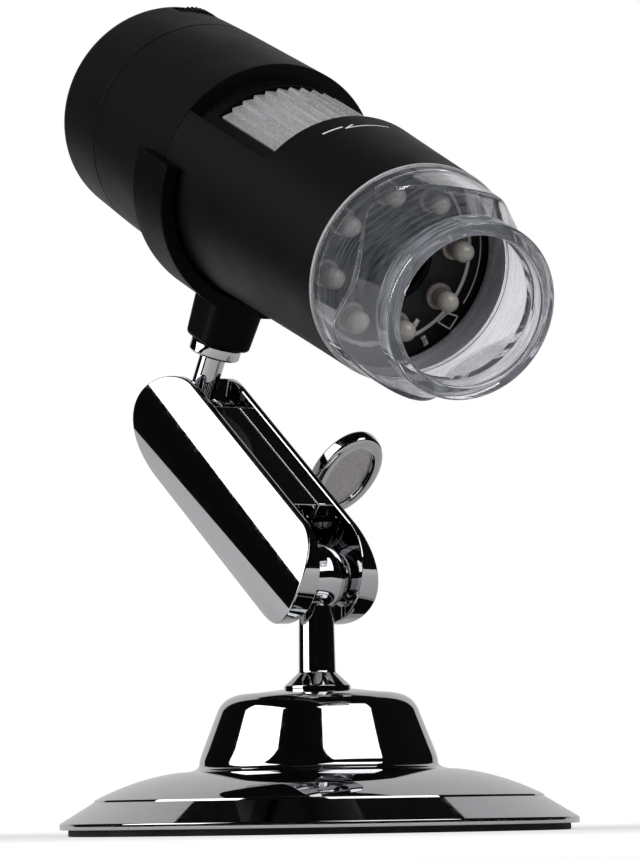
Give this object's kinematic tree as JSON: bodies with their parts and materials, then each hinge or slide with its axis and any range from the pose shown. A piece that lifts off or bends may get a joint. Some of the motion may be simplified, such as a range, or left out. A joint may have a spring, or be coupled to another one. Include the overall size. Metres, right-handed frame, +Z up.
{
  "type": "usb digital microscope",
  "caption": "Handheld usb digital microscope with clear nose and light ring, held in a clip on a chrome ball-jointed table stand with a weighted round foot.",
  "frame": {"origin": "centre of the foot pad's underside, on the table", "axes": "+Z up; the ball arm swings in the XZ plane and leans towards -X; the tube's nose points towards +X, down and a little towards -Y"},
  "size_m": [0.115, 0.0786, 0.1333],
  "materials": {
    "chrome_plated": "mirror-bright plated metal",
    "satin_cast_metal": "satin plated cast metal",
    "plain_steel": "machined steel",
    "brass_insert": "turned brass",
    "black_satin_shell": "fine matte black moulding",
    "black_moulding": "plain black moulding",
    "grey_focus_ring": "smooth grey moulding with ribs",
    "black_rubber": "matte rubber",
    "circuit_board_green": "solder resist",
    "circuit_board_black": "black solder resist with white print",
    "clear_acrylic": "clear polished plastic",
    "lens_glass": "coated glass",
    "led_epoxy": "moulded epoxy domes"
  },
  "bodies": {
    "base": {"base_shell": "chrome_plated", "base_pad": "black_rubber", "base_weight": "plain_steel", "base_screw": "plain_steel"},
    "lower_stud": {"lower_ball_stud": "chrome_plated"},
    "arm": {"arm_front_shell": "chrome_plated", "arm_rear_shell": "chrome_plated", "clamp_washer": "plain_steel"},
    "knob": {"wing_knob": "satin_cast_metal", "clamp_screw": "plain_steel"},
    "upper_stud": {"upper_ball_stud": "chrome_plated", "stud_collar": "chrome_plated"},
    "cradle": {"cradle_clip": "black_moulding", "cradle_insert": "brass_insert"},
    "tube": {"rear_cap": "black_satin_shell", "cable_gland": "black_rubber", "dimmer_pot": "plain_steel", "dimmer_board": "circuit_board_green", "rear_barrel": "black_satin_shell", "front_barrel": "black_satin_shell", "sensor_board": "circuit_board_green", "image_sensor": "black_moulding", "optics_tube": "black_moulding", "optics_screw_1": "plain_steel", "optics_screw_2": "plain_steel", "optics_screw_3": "plain_steel", "infrared_filter": "lens_glass", "light_baffle": "black_moulding", "led_board": "circuit_board_black", "led_lamp_1": "led_epoxy", "led_lamp_2": "led_epoxy", "led_lamp_3": "led_epoxy", "led_lamp_4": "led_epoxy", "led_lamp_5": "led_epoxy", "led_lamp_6": "led_epoxy", "led_lamp_7": "led_epoxy", "led_lamp_8": "led_epoxy", "clear_shroud": "clear_acrylic"},
    "focus": {"focus_ring": "grey_focus_ring"},
    "lens": {"lens_cell": "black_moulding", "objective_lens": "lens_glass", "lens_retainer": "black_moulding"},
    "dial": {"led_dial": "black_moulding"}
  },
  "joints": [
    {"name": "base_swivel", "type": "hinge", "parent": "base", "child": "lower_stud", "pos_m": [0, 0, 0.03874], "axis": [0, 0, 1], "continuous": true},
    {"name": "lower_tilt", "type": "hinge", "parent": "lower_stud", "child": "arm", "pos_m": [0, 0, 0.03874], "axis": [0, 1, 0], "range_deg": [-40, 46]},
    {"name": "knob_turn", "type": "hinge", "parent": "arm", "child": "knob", "pos_m": [-0.01616, 0, 0.0516], "axis": [0, 1, 0], "continuous": true},
    {"name": "upper_tilt", "type": "hinge", "parent": "arm", "child": "upper_stud", "pos_m": [-0.03232, 0, 0.06445], "axis": [0, 1, 0], "range_deg": [-50, 15]},
    {"name": "cradle_swivel", "type": "hinge", "parent": "upper_stud", "child": "cradle", "pos_m": [-0.03232, 0, 0.06445], "axis": [0.3957, 0.0854, 0.9144], "continuous": true},
    {"name": "tube_roll", "type": "hinge", "parent": "cradle", "child": "tube", "pos_m": [-0.01574, 0.0034, 0.10147], "axis": [0.9129, -0.1455, -0.3814], "continuous": true},
    {"name": "focus_turn", "type": "hinge", "parent": "tube", "child": "focus", "pos_m": [-0.01574, 0.0034, 0.10147], "axis": [0.9129, -0.1455, -0.3814], "range_deg": [-150, 150]},
    {"name": "lens_slide", "type": "slide", "parent": "tube", "child": "lens", "axis": [0.9129, -0.1455, -0.3814], "range_m": [-0.005, 0.005]},
    {"name": "dial_turn", "type": "hinge", "parent": "tube", "child": "dial", "pos_m": [-0.04613, 0.01, 0.1269], "axis": [0.9129, -0.1455, -0.3814], "range_deg": [-135, 135]}
  ],
  "couplings": [
    {"joint": "lens_slide", "follows": "focus_turn", "m_per_rad": 0.001906}
  ]
}
